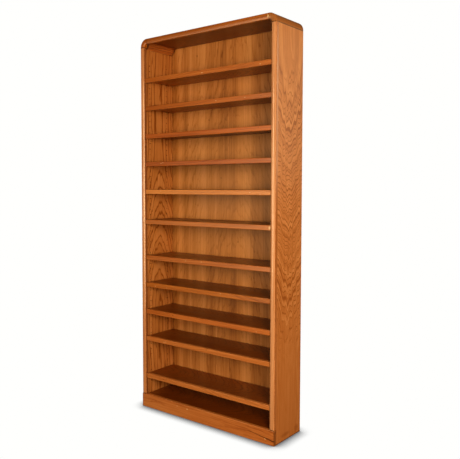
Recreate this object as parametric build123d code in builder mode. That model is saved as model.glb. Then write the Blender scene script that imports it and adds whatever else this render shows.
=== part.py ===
from build123d import *
import os

# Tall bookcase with adjustable shelves. Millimetres, +Z up, the open front faces -Y,
# and the origin is the middle of the footprint on the floor.

# Overall size
WIDTH = 914.4
DEPTH = 254.0
HEIGHT = 2133.6

# Boards
SIDE_THICKNESS = 28.6
TOP_THICKNESS = 20.6
SHELF_THICKNESS = 15.9
BACK_THICKNESS = 6.35
DADO_DEPTH = 6.35

# Solid edging on the front of the case, with a crowned face
EDGE_DEPTH = 19.05
CROWN = 3.2
ARRIS = 1.5

# Plinth
TOE_HEIGHT = 76.2
TOE_ARRIS = 2.5
RAIL_THICKNESS = 19.05
GLUE_BLOCK = 25.0
GLUE_BLOCK_LENGTH = 100.0
GLUE_BLOCK_SPACING = 270.0
GLUE_BLOCK_COUNT = 3

# Back panel in its rebate, let in from the rear edge of the case
BACK_RECESS = 8.75
REBATE_WIDTH = 9.5
BACK_FLOOR_GAP = 3.0
BACK_CORNER_CLIP = 22.0

# Rounded top corners and the moulding behind them
CORNER_RADIUS = 44.45
SPLINE_THICKNESS = 3.2
SPLINE_HALF_WIDTH = 6.35
SPLINE_SETBACK = 6.0
MOULDING_TOP_LEG = 35.0
MOULDING_SIDE_LEG = 37.0

# Shelves
LIPPING_HEIGHT = 25.4
LIPPING_DEPTH = 19.05
LIPPING_ARRIS = 2.5
SHELF_SETBACK = 6.35
SHELF_REAR = 236.0
SHELF_END_GAP = 0.8
MIDDLE_SHELF_TOP = 1104.9
MIDDLE_SHELF_SETBACK = 1.6

# Shelf pins and their holes
PIN_PITCH = 31.75
PIN_RADIUS = 3.125
PIN_HOLE_RADIUS = 3.175
PIN_HOLE_DEPTH = 12.7
PIN_IN_HOLE = 12.0
PIN_OUT_OF_HOLE = 9.5
PIN_CHAMFER = 0.6
PIN_FRONT_COLUMN = 44.5
PIN_REAR_COLUMN = 187.3
PIN_GAP = 0.3
LOWEST_SHELF_TOP = 198.4
SHELF_STEPS = [0, 7, 12, 17, 22, 34, 39, 44, 49, 54]
LOWER_HOLE_STEPS = (-1, 28)
UPPER_HOLE_STEPS = (30, 57)

# Brads through the back panel
BRAD_RADIUS = 0.8
BRAD_HEAD_RADIUS = 1.8
BRAD_HEAD_THICKNESS = 0.8
BRAD_GRIP = 12.7
BRAD_ROWS = 14
BRAD_COLUMNS = 5
BRAD_END_MARGIN = 36.0
BRAD_COLUMN_SPACING = 190.0

# Derived places
FRONT = -DEPTH / 2
REAR = DEPTH / 2
EDGE_BACK = FRONT + EDGE_DEPTH
BACK_FACE = REAR - BACK_RECESS - BACK_THICKNESS
INNER_HALF = WIDTH / 2 - SIDE_THICKNESS
SIDE_TOP = HEIGHT - CORNER_RADIUS
TOP_HALF = WIDTH / 2 - CORNER_RADIUS
TOP_UNDERSIDE = HEIGHT - TOP_THICKNESS
DECK_UNDERSIDE = TOE_HEIGHT - SHELF_THICKNESS
REBATE_HALF = INNER_HALF + REBATE_WIDTH
REBATE_TOP = TOP_UNDERSIDE + REBATE_WIDTH
PIN_HEIGHT = LOWEST_SHELF_TOP - SHELF_THICKNESS - PIN_GAP - PIN_RADIUS

BRAD_Z_LOW = BACK_FLOOR_GAP + BRAD_END_MARGIN
BRAD_Z_HIGH = SIDE_TOP - BRAD_END_MARGIN
BRAD_Z_STEP = (BRAD_Z_HIGH - BRAD_Z_LOW) / (BRAD_ROWS - 1)
BRAD_SIDE_X = INNER_HALF + REBATE_WIDTH / 2
BRAD_TOP_Z = TOP_UNDERSIDE + REBATE_WIDTH / 2
BRAD_MIDDLE_Z = MIDDLE_SHELF_TOP - SHELF_THICKNESS / 2
BRAD_RAIL_Z = DECK_UNDERSIDE / 2
BRAD_SIDE_HEIGHTS = [BRAD_Z_LOW + BRAD_Z_STEP * row for row in range(BRAD_ROWS)]
BRAD_COLUMN_X = [
    BRAD_COLUMN_SPACING * (column - (BRAD_COLUMNS - 1) / 2) for column in range(BRAD_COLUMNS)
]

# Outline of the back panel, its top corners clipped to clear the rounded corners of the case
BACK_OUTLINE = [
    (-REBATE_HALF, BACK_FLOOR_GAP),
    (REBATE_HALF, BACK_FLOOR_GAP),
    (REBATE_HALF, REBATE_TOP - BACK_CORNER_CLIP),
    (REBATE_HALF - BACK_CORNER_CLIP, REBATE_TOP),
    (BACK_CORNER_CLIP - REBATE_HALF, REBATE_TOP),
    (-REBATE_HALF, REBATE_TOP - BACK_CORNER_CLIP),
]

# The plane of the back panel's front face; its normal points to the front
BACK_PLANE = Plane.XZ.offset(-BACK_FACE)

HANDS = {"left": -1, "right": 1}

os.makedirs("parts", exist_ok=True)


def save(piece, name):
    """Label a finished piece and write it as its own STEP file."""
    piece.part.label = name
    export_step(piece.part, f"parts/{name}.step")


def block(low, high, mode=Mode.ADD):
    """A box between two opposite corners, added to or cut from the piece in hand."""
    size = [top - bottom for bottom, top in zip(low, high)]
    with Locations(Location(low)):
        Box(*size, align=(Align.MIN, Align.MIN, Align.MIN), mode=mode)


def hole_row_centre(steps):
    """Height of the middle of a band of pin holes."""
    return PIN_HEIGHT + PIN_PITCH * (steps[0] + steps[1]) / 2


# ---------------------------------------------------------------- sides of the case


def make_side(hand):
    """A side panel, dadoed for the deck and middle shelf, rebated for the back and bored for pins."""
    outer = hand * WIDTH / 2
    inner = hand * INNER_HALF
    rebate = hand * REBATE_HALF
    dado = hand * (INNER_HALF + DADO_DEPTH)
    dado_low = min(inner, dado)
    dado_high = max(inner, dado)
    column_middle = FRONT + (PIN_FRONT_COLUMN + PIN_REAR_COLUMN) / 2
    column_spacing = PIN_REAR_COLUMN - PIN_FRONT_COLUMN
    with BuildPart() as side:
        with BuildSketch(Plane.XY):
            with BuildLine():
                Polyline(
                    (outer, EDGE_BACK),
                    (inner, EDGE_BACK),
                    (inner, BACK_FACE),
                    (rebate, BACK_FACE),
                    (rebate, REAR),
                    (outer, REAR),
                    close=True,
                )
            make_face()
        extrude(amount=SIDE_TOP)

        # The plinth board runs across the front, below the edging
        block((dado_low, EDGE_BACK, DECK_UNDERSIDE), (dado_high, BACK_FACE, TOE_HEIGHT), Mode.SUBTRACT)
        middle_front = FRONT + MIDDLE_SHELF_SETBACK + LIPPING_DEPTH
        middle_low = MIDDLE_SHELF_TOP - SHELF_THICKNESS
        block((dado_low, middle_front, middle_low), (dado_high, BACK_FACE, MIDDLE_SHELF_TOP), Mode.SUBTRACT)

        # Shelf pin holes: two columns, interrupted by the middle shelf
        with BuildSketch(Plane.YZ.offset(inner)):
            for steps in (LOWER_HOLE_STEPS, UPPER_HOLE_STEPS):
                rows = steps[1] - steps[0] + 1
                with Locations((column_middle, hole_row_centre(steps))):
                    with GridLocations(column_spacing, PIN_PITCH, 2, rows):
                        Circle(PIN_HOLE_RADIUS)
        extrude(amount=hand * PIN_HOLE_DEPTH, mode=Mode.SUBTRACT)

        # Slot for the corner spline in the top end
        spline_x = hand * (WIDTH / 2 - SIDE_THICKNESS / 2)
        block(
            (spline_x - SPLINE_THICKNESS / 2, EDGE_BACK + SPLINE_SETBACK, SIDE_TOP - SPLINE_HALF_WIDTH),
            (spline_x + SPLINE_THICKNESS / 2, BACK_FACE - SPLINE_SETBACK, SIDE_TOP),
            Mode.SUBTRACT,
        )

        # Brad holes in the shoulder of the rebate
        with BuildSketch(BACK_PLANE):
            with Locations(*[(hand * BRAD_SIDE_X, z) for z in BRAD_SIDE_HEIGHTS]):
                Circle(BRAD_RADIUS)
        extrude(amount=BRAD_GRIP, mode=Mode.SUBTRACT)
    return side


def make_stile(hand):
    """Solid edging up the front of a side, with a crowned face, standing on the plinth board."""
    outer = hand * WIDTH / 2
    inner = hand * INNER_HALF
    with BuildPart() as stile:
        with BuildSketch(Plane.XY.offset(TOE_HEIGHT)):
            with BuildLine():
                ThreePointArc(
                    (outer, FRONT + CROWN), ((outer + inner) / 2, FRONT), (inner, FRONT + CROWN)
                )
                Polyline(
                    (inner, FRONT + CROWN),
                    (inner, EDGE_BACK),
                    (outer, EDGE_BACK),
                    (outer, FRONT + CROWN),
                )
            make_face()
        extrude(amount=SIDE_TOP - TOE_HEIGHT)
        fillet(stile.edges().filter_by(Axis.Z).group_by(Axis.Y)[0], radius=ARRIS)
    return stile


# ---------------------------------------------------------------- rounded top corners


def make_corner_block(hand):
    """Bent corner from front to back: the crowned edging section turned through a quarter circle."""
    centre = (hand * TOP_HALF, 0, SIDE_TOP)
    inner_radius = CORNER_RADIUS - SIDE_THICKNESS
    middle_radius = CORNER_RADIUS - SIDE_THICKNESS / 2
    # The section starts level with the axis on the left, and above it on the right
    if hand < 0:
        section = Plane(origin=centre, x_dir=(-1, 0, 0), z_dir=(0, 0, -1))
    else:
        section = Plane(origin=centre, x_dir=(0, 0, 1), z_dir=(-1, 0, 0))
    with BuildPart() as corner:
        with BuildSketch(section):
            with BuildLine():
                ThreePointArc(
                    (inner_radius, FRONT + CROWN), (middle_radius, FRONT), (CORNER_RADIUS, FRONT + CROWN)
                )
                Polyline(
                    (CORNER_RADIUS, FRONT + CROWN),
                    (CORNER_RADIUS, REAR),
                    (inner_radius, REAR),
                    (inner_radius, FRONT + CROWN),
                )
            make_face()
        revolve(axis=Axis(centre, (0, 1, 0)), revolution_arc=90)
        arris_y = FRONT + CROWN
        arrises = corner.edges().filter_by_position(Axis.Y, arris_y - 0.01, arris_y + 0.01)
        fillet(arrises.filter_by(GeomType.CIRCLE), radius=ARRIS)

        # Rebate for the back panel
        with BuildSketch(BACK_PLANE):
            with BuildLine():
                Polyline(*BACK_OUTLINE, close=True)
            make_face()
        extrude(amount=-(REAR - BACK_FACE), mode=Mode.SUBTRACT)

        for low, high in spline_boxes(hand):
            block(low, high, Mode.SUBTRACT)
    return corner


def spline_boxes(hand):
    """The two splines of a corner: one into the side below, one into the top beside it."""
    front = EDGE_BACK + SPLINE_SETBACK
    rear = BACK_FACE - SPLINE_SETBACK
    half = SPLINE_THICKNESS / 2
    side_x = hand * (WIDTH / 2 - SIDE_THICKNESS / 2)
    top_z = HEIGHT - TOP_THICKNESS / 2
    joint_x = hand * TOP_HALF
    upright = (
        (side_x - half, front, SIDE_TOP - SPLINE_HALF_WIDTH),
        (side_x + half, rear, SIDE_TOP + SPLINE_HALF_WIDTH),
    )
    flat = (
        (joint_x - SPLINE_HALF_WIDTH, front, top_z - half),
        (joint_x + SPLINE_HALF_WIDTH, rear, top_z + half),
    )
    return [upright, flat]


def make_corner_moulding(hand):
    """Stepped moulding in the corner under the top, from the edging to the back."""
    inner_radius = CORNER_RADIUS - SIDE_THICKNESS
    arc_side = inner_radius * (1 - 2**-0.5)

    def corner(across, down):
        """A point from the inner corner: across under the top, down the side."""
        return (hand * (INNER_HALF - across), TOP_UNDERSIDE - down)

    step = SIDE_THICKNESS - TOP_THICKNESS
    with BuildPart() as moulding:
        with BuildSketch(Plane.XZ.offset(-EDGE_BACK)):
            with BuildLine():
                Polyline(corner(inner_radius, step), corner(inner_radius, 0), corner(MOULDING_TOP_LEG, 0))
                Line(corner(MOULDING_TOP_LEG, 0), corner(MOULDING_TOP_LEG, 2.5))
                ThreePointArc(corner(MOULDING_TOP_LEG, 2.5), corner(26.0, 4.4), corner(20.0, 9.5))
                Polyline(
                    corner(20.0, 9.5),
                    corner(19.7, 12.5),
                    corner(17.0, 13.5),
                    corner(17.0, 15.0),
                    corner(19.4, 16.0),
                    corner(18.6, 23.0),
                )
                ThreePointArc(corner(18.6, 23.0), corner(8.0, 27.5), corner(3.0, MOULDING_SIDE_LEG))
                Polyline(
                    corner(3.0, MOULDING_SIDE_LEG),
                    corner(0, MOULDING_SIDE_LEG),
                    corner(0, step + inner_radius),
                )
                ThreePointArc(
                    corner(0, step + inner_radius),
                    corner(arc_side, step + arc_side),
                    corner(inner_radius, step),
                )
            make_face()
        extrude(amount=-(BACK_FACE - EDGE_BACK))
    return moulding


for side_name, hand in HANDS.items():
    save(make_side(hand), f"side_{side_name}")
    save(make_stile(hand), f"stile_{side_name}")
    save(make_corner_block(hand), f"corner_block_{side_name}")
    save(make_corner_moulding(hand), f"corner_moulding_{side_name}")

with BuildPart() as corner_splines:
    for hand in HANDS.values():
        for low, high in spline_boxes(hand):
            block(low, high)
save(corner_splines, "corner_splines")

# ---------------------------------------------------------------- top

with BuildPart() as top_panel:
    with BuildSketch(Plane.YZ.offset(-TOP_HALF)):
        with BuildLine():
            Polyline(
                (EDGE_BACK, TOP_UNDERSIDE),
                (BACK_FACE, TOP_UNDERSIDE),
                (BACK_FACE, REBATE_TOP),
                (REAR, REBATE_TOP),
                (REAR, HEIGHT),
                (EDGE_BACK, HEIGHT),
                close=True,
            )
        make_face()
    extrude(amount=2 * TOP_HALF)
    for hand in HANDS.values():
        low, high = spline_boxes(hand)[1]
        block(low, high, Mode.SUBTRACT)
    with BuildSketch(BACK_PLANE):
        with Locations(*[(x, BRAD_TOP_Z) for x in BRAD_COLUMN_X]):
            Circle(BRAD_RADIUS)
    extrude(amount=BRAD_GRIP, mode=Mode.SUBTRACT)
save(top_panel, "top_panel")

with BuildPart() as top_lipping:
    with BuildSketch(Plane.YZ.offset(-TOP_HALF)):
        with BuildLine():
            ThreePointArc(
                (FRONT + CROWN, HEIGHT),
                (FRONT, HEIGHT - SIDE_THICKNESS / 2),
                (FRONT + CROWN, HEIGHT - SIDE_THICKNESS),
            )
            Polyline(
                (FRONT + CROWN, HEIGHT - SIDE_THICKNESS),
                (EDGE_BACK, HEIGHT - SIDE_THICKNESS),
                (EDGE_BACK, HEIGHT),
                (FRONT + CROWN, HEIGHT),
            )
        make_face()
    extrude(amount=2 * TOP_HALF)
    fillet(top_lipping.edges().filter_by(Axis.X).group_by(Axis.Y)[0], radius=ARRIS)
save(top_lipping, "top_lipping")

# ---------------------------------------------------------------- plinth and deck

with BuildPart() as toe_board:
    block((-WIDTH / 2, FRONT, 0), (WIDTH / 2, EDGE_BACK, TOE_HEIGHT))
    front_edges = toe_board.edges().filter_by(Axis.X).group_by(Axis.Y)[0]
    fillet(front_edges.sort_by(Axis.Z)[-1], radius=TOE_ARRIS)
save(toe_board, "toe_board")

with BuildPart() as deck_panel:
    deck_half = INNER_HALF + DADO_DEPTH
    block((-deck_half, EDGE_BACK, DECK_UNDERSIDE), (deck_half, BACK_FACE, TOE_HEIGHT))
save(deck_panel, "deck_panel")

with BuildPart() as rear_rail:
    block((-INNER_HALF, BACK_FACE - RAIL_THICKNESS, 0), (INNER_HALF, BACK_FACE, DECK_UNDERSIDE))
    with BuildSketch(BACK_PLANE):
        with Locations(*[(x, BRAD_RAIL_Z) for x in BRAD_COLUMN_X]):
            Circle(BRAD_RADIUS)
    extrude(amount=BRAD_GRIP, mode=Mode.SUBTRACT)
save(rear_rail, "rear_rail")

with BuildPart() as toe_glue_blocks:
    # Three-sided blocks in the angle between the plinth board and the deck
    for index in range(GLUE_BLOCK_COUNT):
        middle = GLUE_BLOCK_SPACING * (index - (GLUE_BLOCK_COUNT - 1) / 2)
        with BuildSketch(Plane.YZ.offset(middle - GLUE_BLOCK_LENGTH / 2)):
            with BuildLine():
                Polyline(
                    (EDGE_BACK, DECK_UNDERSIDE),
                    (EDGE_BACK, DECK_UNDERSIDE - GLUE_BLOCK),
                    (EDGE_BACK + GLUE_BLOCK, DECK_UNDERSIDE),
                    close=True,
                )
            make_face()
        extrude(amount=GLUE_BLOCK_LENGTH)
save(toe_glue_blocks, "toe_glue_blocks")

# ---------------------------------------------------------------- back

BACK_BRADS = (
    [(hand * BRAD_SIDE_X, z) for hand in HANDS.values() for z in BRAD_SIDE_HEIGHTS]
    + [(x, z) for z in (BRAD_RAIL_Z, BRAD_MIDDLE_Z, BRAD_TOP_Z) for x in BRAD_COLUMN_X]
)

with BuildPart() as back_panel:
    with BuildSketch(BACK_PLANE):
        with BuildLine():
            Polyline(*BACK_OUTLINE, close=True)
        make_face()
        with Locations(*BACK_BRADS):
            Circle(BRAD_RADIUS, mode=Mode.SUBTRACT)
    extrude(amount=-BACK_THICKNESS)
save(back_panel, "back_panel")

with BuildPart() as back_brads:
    with BuildSketch(BACK_PLANE.offset(BRAD_GRIP)):
        with Locations(*BACK_BRADS):
            Circle(BRAD_RADIUS)
    extrude(amount=-(BRAD_GRIP + BACK_THICKNESS))
    with BuildSketch(BACK_PLANE.offset(-BACK_THICKNESS)):
        with Locations(*BACK_BRADS):
            Circle(BRAD_HEAD_RADIUS)
    extrude(amount=-BRAD_HEAD_THICKNESS)
save(back_brads, "back_brads")

# ---------------------------------------------------------------- shelves


def make_lipping(half_length, front, top):
    """Solid front edge of a shelf, deeper than the panel behind it, its two front arrises eased."""
    with BuildPart() as lipping:
        block((-half_length, front, top - LIPPING_HEIGHT), (half_length, front + LIPPING_DEPTH, top))
        fillet(lipping.edges().filter_by(Axis.X).group_by(Axis.Y)[0], radius=LIPPING_ARRIS)
    return lipping


def make_pins(hand, top):
    """Front and rear pin under one end of a shelf: straight dowels with eased ends."""
    start = hand * (INNER_HALF + PIN_IN_HOLE)
    height = top - SHELF_THICKNESS - PIN_GAP - PIN_RADIUS
    with BuildPart() as pins:
        with BuildSketch(Plane.YZ.offset(start)):
            with Locations((FRONT + PIN_FRONT_COLUMN, height), (FRONT + PIN_REAR_COLUMN, height)):
                Circle(PIN_RADIUS)
        extrude(amount=-hand * (PIN_IN_HOLE + PIN_OUT_OF_HOLE))
        chamfer(pins.edges().filter_by(GeomType.CIRCLE), length=PIN_CHAMFER)
    return pins


middle_front = FRONT + MIDDLE_SHELF_SETBACK
save(make_lipping(INNER_HALF, middle_front, MIDDLE_SHELF_TOP), "middle_shelf_lipping")

with BuildPart() as middle_shelf_panel:
    middle_half = INNER_HALF + DADO_DEPTH
    block(
        (-middle_half, middle_front + LIPPING_DEPTH, MIDDLE_SHELF_TOP - SHELF_THICKNESS),
        (middle_half, BACK_FACE, MIDDLE_SHELF_TOP),
    )
    with BuildSketch(BACK_PLANE):
        with Locations(*[(x, BRAD_MIDDLE_Z) for x in BRAD_COLUMN_X]):
            Circle(BRAD_RADIUS)
    extrude(amount=BRAD_GRIP, mode=Mode.SUBTRACT)
save(middle_shelf_panel, "middle_shelf_panel")

shelf_half = INNER_HALF - SHELF_END_GAP
shelf_front = FRONT + SHELF_SETBACK
for number, step in enumerate(SHELF_STEPS, start=1):
    shelf_top = LOWEST_SHELF_TOP + PIN_PITCH * step
    save(make_lipping(shelf_half, shelf_front, shelf_top), f"shelf_{number:02d}_lipping")
    with BuildPart() as shelf_panel:
        block(
            (-shelf_half, shelf_front + LIPPING_DEPTH, shelf_top - SHELF_THICKNESS),
            (shelf_half, FRONT + SHELF_REAR, shelf_top),
        )
    save(shelf_panel, f"shelf_{number:02d}_panel")
    for side_name, hand in HANDS.items():
        save(make_pins(hand, shelf_top), f"shelf_{number:02d}_pins_{side_name}")
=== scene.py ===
import math
import random
from collections import namedtuple

import bpy
from mathutils import Matrix, Vector


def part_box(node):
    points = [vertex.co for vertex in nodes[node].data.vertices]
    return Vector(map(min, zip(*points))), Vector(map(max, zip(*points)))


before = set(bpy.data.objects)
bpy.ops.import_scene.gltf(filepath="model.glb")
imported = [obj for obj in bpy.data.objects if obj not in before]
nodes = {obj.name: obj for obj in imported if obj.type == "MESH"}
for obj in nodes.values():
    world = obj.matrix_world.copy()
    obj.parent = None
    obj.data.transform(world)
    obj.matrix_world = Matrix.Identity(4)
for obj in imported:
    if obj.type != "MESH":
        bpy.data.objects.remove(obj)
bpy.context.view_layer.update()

# ---------------------------------------------------------------- shader graph helpers


class Graph:
    """A material's node tree, with short calls for the nodes that the finishes are built from."""

    def __init__(self, name):
        self.material = bpy.data.materials.new(name)
        self.material.use_nodes = True
        self.tree = self.material.node_tree
        self.tree.nodes.clear()
        output = self.tree.nodes.new("ShaderNodeOutputMaterial")
        self.shader = self.tree.nodes.new("ShaderNodeBsdfPrincipled")
        self.tree.links.new(self.shader.outputs[0], output.inputs["Surface"])

    def put(self, socket, value):
        """Link a socket to another node's output, or set its own value."""
        if isinstance(value, bpy.types.NodeSocket):
            self.tree.links.new(value, socket)
        else:
            socket.default_value = value

    def math(self, operation, first, second=0.0, clamp=False):
        found = self.tree.nodes.new("ShaderNodeMath")
        found.operation = operation
        found.use_clamp = clamp
        self.put(found.inputs[0], first)
        self.put(found.inputs[1], second)
        return found.outputs[0]

    def vector(self, operation, first, second=(0.0, 0.0, 0.0)):
        found = self.tree.nodes.new("ShaderNodeVectorMath")
        found.operation = operation
        self.put(found.inputs[0], first)
        self.put(found.inputs[1], second)
        return found.outputs["Value" if operation == "LENGTH" else "Vector"]

    def split(self, vector):
        found = self.tree.nodes.new("ShaderNodeSeparateXYZ")
        self.put(found.inputs[0], vector)
        return found.outputs

    def join(self, x, y, z):
        found = self.tree.nodes.new("ShaderNodeCombineXYZ")
        for socket, value in zip(found.inputs, (x, y, z)):
            self.put(socket, value)
        return found.outputs[0]

    def coordinates(self):
        return self.tree.nodes.new("ShaderNodeTexCoord").outputs["Object"]

    def noise(self, vector, scale=1.0, detail=1.0, roughness=0.5):
        found = self.tree.nodes.new("ShaderNodeTexNoise")
        self.put(found.inputs["Vector"], vector)
        found.inputs["Scale"].default_value = scale
        found.inputs["Detail"].default_value = detail
        found.inputs["Roughness"].default_value = roughness
        return found.outputs[0]

    def stretched_noise(self, place, scales, detail=1.0, roughness=0.5):
        """Noise with a scale of its own along each axis."""
        return self.noise(self.vector("MULTIPLY", place, scales), 1.0, detail, roughness)

    def remap(self, value, low, high, new_low=0.0, new_high=1.0, smooth=False):
        found = self.tree.nodes.new("ShaderNodeMapRange")
        found.interpolation_type = "SMOOTHSTEP" if smooth else "LINEAR"
        self.put(found.inputs["Value"], value)
        labels = ("From Min", "From Max", "To Min", "To Max")
        for label, number in zip(labels, (low, high, new_low, new_high)):
            self.put(found.inputs[label], number)
        return found.outputs[0]

    def swing(self, noise, amount, low=0.3):
        """Noise, which is centred on 0.5, made to swing from -amount at low to amount at 1 - low."""
        return self.remap(noise, low, 1.0 - low, -amount, amount)

    def ramp(self, value, stops):
        """A colour ramp: its first two (place, colour) stops are its ends, and any others lie between."""
        found = self.tree.nodes.new("ShaderNodeValToRGB")
        self.put(found.inputs[0], value)
        elements = found.color_ramp.elements
        for element, (place, colour) in zip(elements, stops[:2]):
            element.position = place
            element.color = (*colour, 1.0)
        for place, colour in stops[2:]:
            elements.new(place).color = (*colour, 1.0)
        return found.outputs[0]

    def mix(self, factor, first, second):
        found = self.tree.nodes.new("ShaderNodeMix")
        found.data_type = "RGBA"
        self.put(found.inputs[0], factor)
        for socket, value in ((found.inputs[6], first), (found.inputs[7], second)):
            self.put(socket, (*value, 1.0) if isinstance(value, tuple) else value)
        return found.outputs[2]

    def bump(self, height, distance, strength):
        found = self.tree.nodes.new("ShaderNodeBump")
        self.put(found.inputs["Height"], height)
        found.inputs["Distance"].default_value = distance
        found.inputs["Strength"].default_value = strength
        return found.outputs[0]


# ---------------------------------------------------------------- oak

# Stain tones, linear: pale late wood, mid tone, dark pores and growth lines
HONEY = ((0.68, 0.290, 0.090), (0.52, 0.182, 0.042), (0.31, 0.085, 0.014))
RUSSET = ((0.56, 0.200, 0.040), (0.40, 0.124, 0.019), (0.18, 0.040, 0.003))
TAWNY = ((0.60, 0.268, 0.090), (0.42, 0.160, 0.040), (0.18, 0.053, 0.008))
AMBER = ((0.71, 0.290, 0.090), (0.54, 0.190, 0.044), (0.27, 0.070, 0.009))
# The stiles' pale tone is partly a real pale stain and partly a painted highlight on their crowned fronts
BLOND_AND_HIGHLIGHT = ((0.80, 0.420, 0.200), (0.63, 0.285, 0.115), (0.30, 0.090, 0.020))
# The next tone is a deep stain darkened further with painted shade, for the flat boards' tops and
# undersides inside the case
UMBER_AND_SHADE = ((0.26, 0.062, 0.006), (0.17, 0.034, 0.002), (0.07, 0.012, 0.001))

# Tints of marks, linear: pale nail filler; the dark of a knot, a shake or a glued joint
FILLER = (0.80, 0.56, 0.30)
DARK = (0.045, 0.011, 0.001)

# Noise scales per metre: across the face, into the log and along the grain
DRIFT_SCALES = (0.0, 0.0, 1.3)
WAVE_SCALES = (46.0, 12.0, 4.5)
RAGGED_SCALES = (190.0, 60.0, 22.0)
WANDER_SCALES = (7.0, 7.0, 2.4)
PATCH_SCALES = (9.0, 9.0, 2.2)
PORE_SCALES = (1500.0, 1500.0, 52.0)
FIBRE_SCALES = (190.0, 190.0, 2.6)
CLOUD_SCALES = (9.0, 9.0, 1.6)
RUB_SCALES = (40.0, 40.0, 14.0)
LEAF_SCALES = (13.0, 0.0, 0.10)

# How far the pith drifts sideways, in metres; how much of the jag the folds, the waves and the rags take
PITH_DRIFT = 0.03
FOLD_SHARE, WAVE_SHARE, RAGGED_SHARE = 0.8, 0.6, 0.2

# Where plain wood and the mid tone lie between the dark tone, 0, and the pale tone, 1
PLAIN_TONE = 0.60
MID_TONE = 0.52
CLOUD_CONTRAST = 0.12
PORE_CONTRAST = 0.6

# Metres inside an edge where a rubbed arris and a dark board end are at their full, and where they stop
ARRIS_WEAR = (0.0004, 0.0028)
END_GRAIN = (0.0030, 0.0060)

# How near a second face must be to make a corner that gets painted shade, and how deep the pores stand open
CORNER_REACH = 0.016
PORE_DEPTH = 0.00012

Mark = namedtuple("Mark", "place reach tint strength")


class Board:
    """Where a board was sawn from its log.

    along, face: the axis of the grain and the axis through the board's broad face.
    pith, depth: where the middle of the log lies, sideways and under the face.
    ring: the width of a growth ring.
    climb: how much the rings' radius changes between the places span[0] and span[1] along the grain.
        This draws the cathedrals, whose tips point up the grain where it is positive.
    jag: how ragged the growth lines are, in rings.
    zigzag: how many of their sharp folds fit in a metre.
    plain: how strong the lines still are beyond the span.
    """

    def __init__(self, along, face, seed, pith=0.0, depth=0.2, ring=0.008, climb=0.0, span=(-1.0, 3.0),
                 jag=0.5, zigzag=0.0, plain=1.0):
        self.along, self.face, self.pith, self.depth = along, face, pith, depth
        self.ring, self.climb, self.span, self.jag = ring, climb, span, jag
        self.zigzag, self.plain = zigzag, plain
        self.shift = random.Random(seed).uniform(-40, 40)

    def place(self, graph, centre):
        """Across the face, into the log and along the grain; then the same as one shifted vector."""
        axes = dict(zip("XYZ", graph.split(graph.coordinates())))
        middle = dict(zip("XYZ", centre))
        side_axis = ({"X", "Y", "Z"} - {self.along, self.face}).pop()
        across = graph.math("SUBTRACT", axes[side_axis], middle[side_axis])
        inward = graph.math("SUBTRACT", axes[self.face], middle[self.face])
        length = axes[self.along]
        return across, inward, length, graph.join(across, inward, graph.math("ADD", length, self.shift))

    def rings(self, graph, across, inward, length, place):
        """The growth ring that a point lies in, counted out from the pith."""
        drift = graph.swing(graph.stretched_noise(place, DRIFT_SCALES), PITH_DRIFT, low=0.2)
        sideways = graph.math("ADD", graph.math("SUBTRACT", across, self.pith), drift)
        radius = graph.vector("LENGTH", graph.join(sideways, graph.math("ADD", inward, self.depth), 0.0))
        if self.climb:
            rise = graph.remap(length, *self.span, 0.0, self.climb, smooth=True)
            radius = graph.math("ADD", radius, rise)
        count = graph.math("DIVIDE", radius, self.ring)
        if self.zigzag:
            wander = graph.math("MULTIPLY", graph.stretched_noise(place, WANDER_SCALES), 3.2)
            folds = graph.math("ADD", graph.math("MULTIPLY", across, self.zigzag), wander)
            bend = FOLD_SHARE * self.jag
            fold = graph.remap(graph.math("PINGPONG", folds, 0.5), 0.0, 0.5, -bend, bend)
            count = graph.math("ADD", count, fold)
        for scales, share in ((WAVE_SCALES, WAVE_SHARE), (RAGGED_SCALES, RAGGED_SHARE)):
            wobble = graph.swing(graph.stretched_noise(place, scales), share * self.jag, low=0.25)
            count = graph.math("ADD", count, wobble)
        return count

    def strength(self, graph, length, place, patchy):
        """How plainly the growth lines show: they come and go, and fade beyond the cathedrals."""
        patch = graph.stretched_noise(place, PATCH_SCALES)
        shown = graph.remap(patch, 0.35, 0.62, 1.0 - patchy, 1.0)
        if self.plain < 1.0:
            start, end = self.span
            fade = 0.22 * (end - start)
            begun = graph.remap(length, start, start + fade, self.plain, 1.0, smooth=True)
            ended = graph.remap(length, end - fade, end, 1.0, self.plain, smooth=True)
            shown = graph.math("MULTIPLY", graph.math("MULTIPLY", shown, begun), ended)
        return shown


def growth_line(graph, count):
    """1 on the dark early wood of each ring, 0 in its late wood; sharp on one side, soft on the other."""
    dark_from, dark_to = 0.10, 0.36
    uneven = graph.noise(graph.join(0.0, 0.0, graph.math("MULTIPLY", count, 0.45)))
    phase = graph.math("FRACT", graph.math("ADD", count, graph.math("MULTIPLY", uneven, 2.6)))
    start = graph.remap(phase, 0.0, dark_from, smooth=True)
    end = graph.remap(phase, dark_from, dark_to, 1.0, 0.0, smooth=True)
    return graph.math("MULTIPLY", start, end)


def edge_gaps(graph, centre, half):
    """How far a point lies inside each pair of the board's outer faces."""
    gaps = {}
    for axis, part, middle, reach in zip("XYZ", graph.split(graph.coordinates()), centre, half):
        offset = graph.math("ABSOLUTE", graph.math("SUBTRACT", part, middle))
        gaps[axis] = graph.math("SUBTRACT", reach, offset)
    return gaps


def marks_on(graph, colour, marks):
    """Knots, filled nail holes, shakes and stains, and patches of painted light and shade, each an
    ellipsoid of tint with a ragged edge.
    """
    for mark in marks:
        offset = graph.vector("SUBTRACT", graph.coordinates(), mark.place)
        ragged = graph.noise(graph.coordinates(), 260.0, 2.0, 0.6)
        distance = graph.vector("LENGTH", graph.vector("DIVIDE", offset, mark.reach))
        distance = graph.math("ADD", distance, graph.swing(ragged, 0.3))
        spot = graph.remap(distance, 0.55, 1.1, mark.strength, 0.0, smooth=True)
        colour = graph.mix(spot, colour, mark.tint)
    return colour


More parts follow.
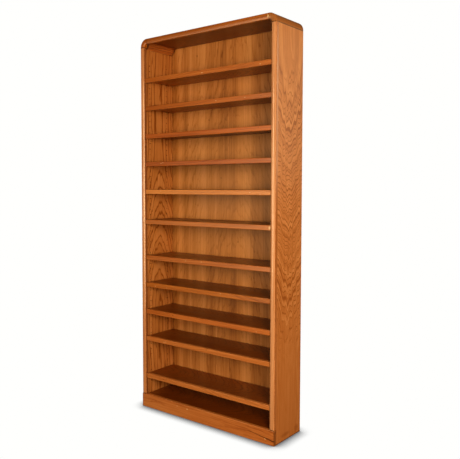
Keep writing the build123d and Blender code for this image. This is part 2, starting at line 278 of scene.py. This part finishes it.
def oak(name, low, high, board, tones, figure=0.5, patchy=0.5, fibre=0.16, stripes=0.0, roughness=0.34,
        shine=0.34, end_shade=0.0, hollows=0.66, marks=()):
    """Stained, satin-finished oak.

    figure, fibre, stripes: contrast of the growth lines, of the fine fibres and of the veneer's leaves.
    patchy: how much the growth lines come and go.
    shine: the strength of the varnish's reflection.
    end_shade: how dark the ends of the board are, where the end grain drinks stain.
    hollows: how open a corner may be and still get painted shade, from 0 to 1.
    """
    graph = Graph(name)
    pale, mid, dark = tones
    centre = (low + high) / 2
    half = (high - low) / 2
    across, inward, length, place = board.place(graph, centre)
    count = board.rings(graph, across, inward, length, place)
    line = growth_line(graph, count)
    line = graph.math("MULTIPLY", line, board.strength(graph, length, place, patchy))

    # Long open pores gather in the early wood; fine fibres and soft clouds run through all of it
    pore = graph.remap(graph.stretched_noise(place, PORE_SCALES, 2.0, 0.6), 0.54, 0.68)
    pore = graph.math("MULTIPLY", pore, graph.remap(line, 0.0, 0.6, 0.35, 1.0))
    streak = graph.stretched_noise(place, FIBRE_SCALES, 3.0, 0.65)
    cloud = graph.stretched_noise(place, CLOUD_SCALES, 3.0)
    ring_tone = graph.noise(graph.join(5.0, 0.0, graph.math("MULTIPLY", count, 0.7)))

    tone = graph.math("SUBTRACT", PLAIN_TONE, graph.math("MULTIPLY", line, figure))
    for noise, contrast in ((streak, fibre), (cloud, CLOUD_CONTRAST), (ring_tone, 0.3 * figure)):
        tone = graph.math("ADD", tone, graph.swing(noise, contrast))
    if stripes:
        leaf = graph.stretched_noise(graph.join(across, 0.0, length), LEAF_SCALES, 1.0, 0.4)
        tone = graph.math("ADD", tone, graph.swing(leaf, stripes, low=0.35))
    colour = graph.ramp(tone, [(0.0, dark), (1.0, pale), (MID_TONE, mid)])
    colour = graph.mix(graph.math("MULTIPLY", pore, PORE_CONTRAST), colour, dark)

    # Arrises are rubbed paler; stain gathers at the board's ends; painted shade darkens its corners
    gaps = edge_gaps(graph, centre, half)
    arris = graph.math("MAXIMUM", *(gaps[axis] for axis in "XYZ" if axis != board.along))
    rub = graph.remap(graph.stretched_noise(place, RUB_SCALES, 3.0, 0.6), 0.40, 0.62)
    worn = graph.math("MULTIPLY", graph.remap(arris, *ARRIS_WEAR, 1.0, 0.0, smooth=True), rub)
    rubbed = tuple(min(1.0, c * 1.2) for c in pale)
    colour = graph.mix(graph.math("MULTIPLY", worn, 0.28), colour, rubbed)
    if end_shade:
        near_end = graph.remap(gaps[board.along], *END_GRAIN, end_shade, 0.0, smooth=True)
        colour = graph.mix(near_end, colour, DARK)
    colour = marks_on(graph, colour, marks)
    # Painted shade: ambient occlusion darkens the colour in corners, under edgings and between parts
    corner = graph.tree.nodes.new("ShaderNodeAmbientOcclusion")
    corner.samples = 6
    corner.inputs["Distance"].default_value = CORNER_REACH
    corner_shade = graph.remap(corner.outputs["AO"], 0.22, hollows, 0.85, 0.0)
    colour = graph.mix(corner_shade, colour, tuple(c * 0.35 for c in dark))
    graph.put(graph.shader.inputs["Base Color"], colour)

    # The pores are matt and the rubbed arrises glossy; pores and growth lines stand below the face
    gloss = graph.remap(cloud, 0.3, 0.7, roughness - 0.05, roughness + 0.06)
    gloss = graph.math("ADD", gloss, graph.math("MULTIPLY", pore, 0.18))
    gloss = graph.math("ADD", gloss, graph.math("MULTIPLY", worn, -0.06), clamp=True)
    graph.put(graph.shader.inputs["Roughness"], gloss)
    height = graph.math("SUBTRACT", 1.0, graph.math("MULTIPLY", line, 0.35))
    height = graph.math("SUBTRACT", height, graph.math("MULTIPLY", pore, 0.9))
    graph.put(graph.shader.inputs["Normal"], graph.bump(height, PORE_DEPTH, 0.55))
    graph.shader.inputs["Specular IOR Level"].default_value = shine
    graph.shader.inputs["Coat Weight"].default_value = 0.45 * shine
    graph.shader.inputs["Coat Roughness"].default_value = 0.22
    return graph.material


# ---------------------------------------------------------------- other finishes


def plain_wood(name, seed):
    """Unfinished sawn wood of the hidden rail, blocks and splines."""
    fibre_scales = (18.0, 320.0, 320.0)
    saw_scales = (700.0, 30.0, 30.0)
    brown, cream = (0.34, 0.22, 0.12), (0.66, 0.50, 0.32)
    graph = Graph(name)
    place = graph.coordinates()
    fibre = graph.stretched_noise(place, fibre_scales, 4.0, 0.6)
    saw = graph.stretched_noise(place, saw_scales, 2.0)
    cloud = graph.noise(graph.vector("ADD", place, (seed, 0.0, 0.0)), 14.0, 3.0, 0.6)
    tone = graph.math("ADD", graph.math("MULTIPLY", fibre, 0.7), graph.math("MULTIPLY", cloud, 0.3))
    graph.put(graph.shader.inputs["Base Color"], graph.ramp(tone, [(0.3, brown), (0.72, cream)]))
    graph.put(graph.shader.inputs["Roughness"], graph.remap(fibre, 0.3, 0.7, 0.72, 0.88))
    height = graph.math("ADD", graph.math("MULTIPLY", saw, 0.6), fibre)
    graph.put(graph.shader.inputs["Normal"], graph.bump(height, 0.0003, 0.6))
    return graph.material


def metal(name, tint, roughness, seed):
    """Drawn or turned metal with faint scratches and a dulled patina."""
    scratch_scales = (260.0, 2600.0, 2600.0)
    dull = tuple(c * 0.62 for c in tint)
    graph = Graph(name)
    place = graph.vector("ADD", graph.coordinates(), (seed, 0.0, 0.0))
    scratch = graph.stretched_noise(place, scratch_scales, 3.0, 0.6)
    patina = graph.remap(graph.noise(place, 420.0, 4.0, 0.6), 0.42, 0.7)
    gloss = graph.remap(scratch, 0.3, 0.7, roughness - 0.08, roughness + 0.12)
    graph.put(graph.shader.inputs["Base Color"], graph.mix(patina, tint, dull))
    graph.put(graph.shader.inputs["Roughness"], gloss)
    graph.put(graph.shader.inputs["Normal"], graph.bump(scratch, 0.00003, 0.4))
    graph.shader.inputs["Metallic"].default_value = 1.0
    return graph.material


# ---------------------------------------------------------------- marks

# How far a small mark on a face reaches into the wood; a reach longer than any board
SKIN = 0.004
WHOLE_LENGTH = 4.0


def filled_end(name, reach):
    """Pale filler in the joint at the right-hand end of a front edging."""
    low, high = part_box(name)
    place = (high[0] - reach, low[1], (low[2] + high[2]) / 2)
    return Mark(place, (reach, SKIN, 0.011), FILLER, 0.7)


def toe_marks():
    """Three filled brad holes, and a shake that opens towards the toe board's right-hand end."""
    low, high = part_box("toe_board")
    front = low[1]
    marks = [Mark((low[0] + 0.270, front, 0.058), (0.0045, SKIN, 0.0030), FILLER, 0.75),
             Mark((low[0] + 0.345, front, 0.057), (0.0060, SKIN, 0.0035), FILLER, 0.90),
             Mark((high[0] - 0.053, front, 0.025), (0.0045, SKIN, 0.0035), FILLER, 0.80)]
    shake_start, shake_length = high[0] - 0.150, 0.145
    shake_height, shake_fall = 0.043, 0.018
    steps = 8
    for step in range(steps + 1):
        along = step / steps
        place = (shake_start + shake_length * along, front, shake_height - shake_fall * along)
        reach = (0.016, SKIN, 0.0018 + 0.0016 * along)
        marks.append(Mark(place, reach, DARK, 0.6 + 0.35 * along))
    return marks


def back_marks():
    """Small knots in the back, and painted light that makes its middle height paler."""
    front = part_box("back_panel")[0][1]
    knots = ((-0.145, 1.677), (-0.058, 1.344), (0.062, 0.985), (-0.234, 2.051))
    marks = [Mark((x, front, z), (0.004, 0.006, 0.006), DARK, 0.75) for x, z in knots]
    # Painted light: a paler patch at middle height, where the light falls most strongly
    marks.append(Mark((0.0, front, 1.22), (0.75, 0.010, 0.55), (0.60, 0.30, 0.10), 0.20))
    return marks


def side_marks():
    """Two dark stains at the foot of the right side, and painted shade on its lower part."""
    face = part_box("side_right")[1][0]
    stain, lower_shade = (0.22, 0.050, 0.004), (0.40, 0.105, 0.010)
    return [Mark((face, -0.020, 0.030), (SKIN, 0.045, 0.012), stain, 0.45),
            Mark((face, 0.088, 0.032), (SKIN, 0.022, 0.022), stain, 0.45),
            # Painted shade: the lower part of the face is darkened, where the light falls off
            Mark((face, 0.0, -0.20), (0.02, 0.60, 0.95), lower_shade, 0.35)]


def flank_marks(name):
    """The flat flanks of a stile: painted shade on the one inside the case; on the outer one the mid stain,
    without the front's painted highlight.
    """
    low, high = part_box(name)
    middle = (low + high) / 2
    inner, outer = sorted((low[0], high[0]), key=abs)
    # Painted shade darkens the inner flank; the outer flank gets back the mid stain
    return [Mark((inner, *middle[1:]), (0.0030, 0.013, WHOLE_LENGTH), (0.16, 0.036, 0.003), 0.80),
            Mark((outer, *middle[1:]), (0.0026, 0.026, WHOLE_LENGTH), (0.42, 0.125, 0.020), 0.75)]


def fleck_marks(name, draw):
    """Three small flecks, dark or pale, along a shelf's front edging."""
    low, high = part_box(name)
    flecks = 3
    marks = []
    for fleck in range(flecks):
        x = draw.uniform(-0.38, 0.38)
        drop = draw.uniform(0.004, 0.020)
        tint = draw.choice((DARK, FILLER))
        marks.append(Mark((x, low[1], high[2] - drop), (0.004, SKIN, 0.0022), tint, 0.7))
    return marks


# ---------------------------------------------------------------- dressing the CAD nodes

# How flat veneered boards and solid pieces differ from the sides
FLAT = {"shine": 0.20, "figure": 0.6, "fibre": 0.2}
SOLID = {"figure": 0.42, "patchy": 0.6, "fibre": 0.26}

# The stain of each adjustable shelf's edging, numbered from the bottom up
SHELF_TINTS = {1: (AMBER, (0.95, 0.93, 1.0)), 2: (AMBER, (0.90, 0.84, 0.8)),
               3: (AMBER, (0.85, 0.70, 0.5)), 4: (RUSSET, (1.00, 0.96, 0.7)),
               5: (AMBER, (0.78, 0.66, 0.5)), 6: (AMBER, (1.02, 1.02, 0.8)),
               7: (RUSSET, (0.88, 0.66, 0.4)), 8: (RUSSET, (0.95, 0.74, 0.5)),
               9: (RUSSET, (0.88, 0.74, 0.5)), 10: (RUSSET, (1.02, 0.95, 0.9))}
FIRST_PALE_SHELF = 9


def toned(tones, gains):
    """The same stain, a little paler, darker or redder: a gain each for red, green and blue."""
    return tuple(tuple(channel * gain for channel, gain in zip(tone, gains)) for tone in tones)


def dress(name, material):
    """Give a CAD node its finish."""
    for slot in nodes[name].material_slots:
        slot.link = "OBJECT"
        slot.material = material


def dress_oak(name, board, tones, **look):
    low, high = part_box(name)
    dress(name, oak(f"oak_{name}", low, high, board, tones, **look))


def edging(along, seed, climb, span=(-1.0, 3.0)):
    """Solid edging whose growth lines run the long way, at a slant."""
    return Board(along, "Y", seed, pith=0.08, depth=0.05, ring=0.006, climb=climb, span=span)


def flat_board(seed, depth=0.05, ring=0.018, climb=0.4):
    """A level board with its grain from side to side."""
    return Board("X", "Z", seed, depth=depth, ring=ring, climb=climb, span=(-0.5, 0.5))


def dress_sides_and_back():
    """The sides' cathedrals point down outside on the right, and up inside on the left."""
    right = Board("Z", "X", 11, pith=-0.012, depth=0.028, ring=0.020, climb=-0.95, span=(0.36, 2.02),
                  jag=0.50, zigzag=20.0, plain=0.12)
    dress_oak("side_right", right, toned(HONEY, (1.16, 1.25, 1.60)), figure=0.95, patchy=0.4, fibre=0.18,
              end_shade=0.8, marks=side_marks())
    left = Board("Z", "X", 12, pith=-0.01, depth=0.045, ring=0.019, climb=0.20, span=(0.55, 1.55), jag=0.34)
    dress_oak("side_left", left, toned(AMBER, (0.92, 0.95, 1.02)), figure=1.0, patchy=0.4, fibre=0.26)
    back = Board("Z", "Y", 13, pith=0.05, depth=0.05, ring=0.030, climb=0.5, span=(0.2, 2.3), jag=0.6)
    dress_oak("back_panel", back, TAWNY, figure=0.30, patchy=0.9, fibre=0.23, stripes=0.28,
              roughness=0.46, shine=0.14, marks=back_marks())


def dress_fixed_flat_boards():
    """Flat boards have a deep stain darkened with painted shade; the outside of the top is nearer to the
    sides, with less of that painted shade.
    """
    upper_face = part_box("top_panel")[1][2]
    # The top's upper face gets a mid stain over most of the painted shade
    outside = Mark((0.0, 0.0, upper_face), (1.0, 1.0, 0.005), (0.40, 0.125, 0.022), 0.78)
    top = flat_board(14, depth=0.04, ring=0.022, climb=0.5)
    dress_oak("top_panel", top, UMBER_AND_SHADE, marks=[outside], **FLAT)
    dress_oak("deck_panel", flat_board(15), UMBER_AND_SHADE, **FLAT)
    dress_oak("middle_shelf_panel", flat_board(16), UMBER_AND_SHADE, **FLAT)


def dress_solid_pieces():
    """The stiles, the edgings of the top and the middle shelf, the toe board and the top corners."""
    # The stiles' pale tone holds a painted highlight; the right stile's bluer gain adds to it
    for name, seed, gains in (("stile_left", 21, (1.0, 0.95, 1.0)), ("stile_right", 22, (1.0, 1.05, 1.3))):
        dress_oak(name, edging("Z", seed, 0.03), toned(BLOND_AND_HIGHLIGHT, gains), end_shade=0.9, roughness=0.20,
                  shine=0.60, marks=flank_marks(name), **SOLID)
    dress_oak("top_lipping", edging("X", 23, 0.12), toned(RUSSET, (0.85, 0.76, 0.65)), end_shade=0.5,
              marks=[filled_end("top_lipping", 0.0045)], **SOLID)
    toe = Board("X", "Y", 24, depth=0.06, ring=0.012, climb=0.10)
    dress_oak("toe_board", toe, toned(HONEY, (0.92, 0.84, 0.84)), end_shade=0.45, marks=toe_marks(),
              **SOLID)
    dress_oak("middle_shelf_lipping", edging("X", 29, 0.05), toned(HONEY, (0.82, 0.72, 0.55)), shine=0.22,
              end_shade=0.4, marks=[filled_end("middle_shelf_lipping", 0.0060)], **SOLID)
    corners = (("left", "X", 25, (1.25, 1.02, 0.4)), ("right", "Z", 26, (1.05, 1.22, 1.9)))
    for side, face, seed, gains in corners:
        block = Board("Y", face, seed, depth=0.1, ring=0.007)
        dress_oak(f"corner_block_{side}", block, toned(RUSSET, gains), end_shade=0.3, **SOLID)
        moulding = Board("Y", "X", seed + 2, depth=0.1, ring=0.006)
        # The moulding's stepped profile takes more painted shade in its corners
        dress_oak(f"corner_moulding_{side}", moulding, toned(RUSSET, (0.95, 0.85, 1.1)), end_shade=0.8,
                  hollows=0.92, **SOLID)


def dress_adjustable_shelves():
    """Ten shelves, each with an edging of its own tint and slant; the highest two panels are paler, with
    less painted shade.
    """
    draw = random.Random(31)
    for number, tint in SHELF_TINTS.items():
        shelf = f"shelf_{number:02d}"
        # Less painted shade on the highest two panels, whose undersides show lit
        panel_tones = toned(UMBER_AND_SHADE, (2.1, 2.7, 3.4)) if number >= FIRST_PALE_SHELF else UMBER_AND_SHADE
        dress_oak(f"{shelf}_panel", flat_board(40 + number), panel_tones, **FLAT)
        slant = draw.uniform(-0.2, 0.2)
        lipping = edging("X", 60 + number, slant, span=(-0.6, 0.6))
        dress_oak(f"{shelf}_lipping", lipping, toned(*tint), shine=0.22, end_shade=0.4,
                  marks=fleck_marks(f"{shelf}_lipping", draw), **SOLID)


def dress_fittings_and_hidden_wood():
    """Brass shelf pins, steel brads, and bare wood where the case hides it."""
    brass = metal("pin_brass", (0.78, 0.58, 0.28), 0.34, 3.0)
    steel = metal("brad_steel", (0.56, 0.55, 0.53), 0.40, 5.0)
    raw = plain_wood("raw_wood", 7.0)
    for name in nodes:
        if "_pins_" in name:
            dress(name, brass)
    dress("back_brads", steel)
    for name in ("rear_rail", "toe_glue_blocks", "corner_splines"):
        dress(name, raw)


dress_sides_and_back()
dress_fixed_flat_boards()
dress_solid_pieces()
dress_adjustable_shelves()
dress_fittings_and_hidden_wood()

# ---------------------------------------------------------------- camera

CAMERA_PLACE = (2.0548, -2.6570, 1.2978)
YAW, PITCH, ROLL = -0.6865, -0.0606, -0.0013


def look_from(place, direction, roll=0.0):
    """A world matrix at a place, looking along a direction, level but for the roll."""
    ahead = Vector(direction).normalized()
    right = ahead.cross(Vector((0.0, 0.0, 1.0))).normalized()
    up = right.cross(ahead)
    turned_right = right * math.cos(roll) + up * math.sin(roll)
    turned_up = up * math.cos(roll) - right * math.sin(roll)
    turn = Matrix((turned_right, turned_up, -ahead)).transposed()
    return Matrix.Translation(place) @ turn.to_4x4()


def add_camera():
    """The photographer's place and lens."""
    data = bpy.data.cameras.new("camera")
    data.sensor_width = 36.0
    data.lens = 47.75
    data.shift_x = 0.0655
    data.shift_y = -0.0138
    data.clip_end = 100.0
    camera = bpy.data.objects.new("camera", data)
    bpy.context.scene.collection.objects.link(camera)
    ahead = (math.sin(YAW) * math.cos(PITCH), math.cos(YAW) * math.cos(PITCH), math.sin(PITCH))
    camera.matrix_world = look_from(CAMERA_PLACE, ahead, ROLL)
    bpy.context.scene.camera = camera


add_camera()

# ---------------------------------------------------------------- studio

WARM = (1.0, 0.75, 0.43)
BACKDROP = (1.0, 1.0, 0.985)
AMBIENT, AMBIENT_STRENGTH = (1.0, 0.62, 0.30), 0.11

# The floor's half width, and the colour that it throws back at the object
FLOOR_REACH = 40.0
FLOOR_BOUNCE = (0.18, 0.14, 0.09)

# The contact shadow: its tint and reach, and how open the floor is where it is full and where it ends
SHADOW_TINT = (0.11, 0.11, 0.115)
SHADOW_REACH = 0.078
SHADOW_FULL, SHADOW_END = 0.48, 0.97


def softbox(name, place, target, width, height, power):
    """A warm rectangular area light aimed at a point."""
    data = bpy.data.lights.new(name, "AREA")
    data.shape = "RECTANGLE"
    data.size = width
    data.size_y = height
    data.energy = power
    data.color = WARM
    lamp = bpy.data.objects.new(name, data)
    bpy.context.scene.collection.objects.link(lamp)
    lamp.matrix_world = look_from(place, Vector(target) - Vector(place))
    return lamp


def studio_lights():
    """Two lights that do not shine in the varnish, two cards that only shine in it, and three others."""
    key = softbox("key", (2.95, -2.45, 1.65), (0.0, 0.0, 1.05), 1.1, 1.3, power=128)
    fill = softbox("front_fill", (0.30, -3.40, 1.35), (0.0, 0.0, 1.05), 1.2, 1.5, power=45)
    for lamp in (key, fill):
        lamp.visible_glossy = False
    tall = softbox("tall_card", (-1.25, -2.9, 1.25), (0.0, 0.0, 1.25), 0.24, 2.1, power=46)
    glint = softbox("glint_card", (-2.46, -3.17, 1.15), (0.0, 0.0, 1.15), 0.8, 0.30, power=12)
    for lamp in (tall, glint):
        lamp.visible_diffuse = False
    softbox("side_sheen", (2.5, 2.6, 2.1), (0.4, 0.0, 1.2), 0.9, 1.6, power=14)
    softbox("rear_fill", (-1.4, 3.2, 1.5), (0.0, 0.0, 1.0), 1.4, 1.8, power=70)
    softbox("left_fill", (-3.6, 0.3, 1.4), (0.0, 0.0, 1.0), 1.2, 1.8, power=50)


def join_stage(tree, seen, lit, output_type):
    """The camera sees one shader of the stage; every other ray, and so the object, meets the other."""
    seen_by_camera = tree.nodes.new("ShaderNodeLightPath").outputs["Is Camera Ray"]
    choice = tree.nodes.new("ShaderNodeMixShader")
    output = tree.nodes.new(output_type)
    tree.links.new(seen_by_camera, choice.inputs[0])
    tree.links.new(lit, choice.inputs[1])
    tree.links.new(seen, choice.inputs[2])
    tree.links.new(choice.outputs[0], output.inputs["Surface"])


def studio_floor():
    """A pale floor that runs out to the white backdrop, with a soft contact shadow."""
    mesh = bpy.data.meshes.new("studio_floor")
    corners = ((-1, -1), (1, -1), (1, 1), (-1, 1))
    mesh.from_pydata([(x * FLOOR_REACH, y * FLOOR_REACH, 0) for x, y in corners], [], [(0, 1, 2, 3)])
    floor = bpy.data.objects.new("studio_floor", mesh)
    bpy.context.scene.collection.objects.link(floor)
    material = bpy.data.materials.new("studio_floor")
    material.use_nodes = True
    tree = material.node_tree
    tree.nodes.clear()
    shade = tree.nodes.new("ShaderNodeAmbientOcclusion")
    shade.inputs["Distance"].default_value = SHADOW_REACH
    shade.samples = 24
    tint = tree.nodes.new("ShaderNodeValToRGB")
    stops = ((SHADOW_FULL, SHADOW_TINT), (SHADOW_END, BACKDROP))
    for element, (place, colour) in zip(tint.color_ramp.elements, stops):
        element.position = place
        element.color = (*colour, 1.0)
    tree.links.new(shade.outputs["AO"], tint.inputs[0])
    shown = tree.nodes.new("ShaderNodeEmission")
    tree.links.new(tint.outputs[0], shown.inputs["Color"])
    lit = tree.nodes.new("ShaderNodeBsdfDiffuse")
    lit.inputs["Color"].default_value = (*FLOOR_BOUNCE, 1.0)
    join_stage(tree, shown.outputs[0], lit.outputs[0], "ShaderNodeOutputMaterial")
    mesh.materials.append(material)


def studio_world():
    """A white backdrop to the camera, and a dim warm light from all round to the object."""
    world = bpy.data.worlds.new("studio")
    bpy.context.scene.world = world
    world.use_nodes = True
    tree = world.node_tree
    tree.nodes.clear()
    shades = []
    for colour, strength in ((BACKDROP, 1.0), (AMBIENT, AMBIENT_STRENGTH)):
        background = tree.nodes.new("ShaderNodeBackground")
        background.inputs["Color"].default_value = (*colour, 1.0)
        background.inputs["Strength"].default_value = strength
        shades.append(background.outputs[0])
    join_stage(tree, *shades, "ShaderNodeOutputWorld")


studio_lights()
studio_floor()
studio_world()

scene = bpy.context.scene
scene.view_settings.view_transform = "Standard"
scene.view_settings.look = "None"
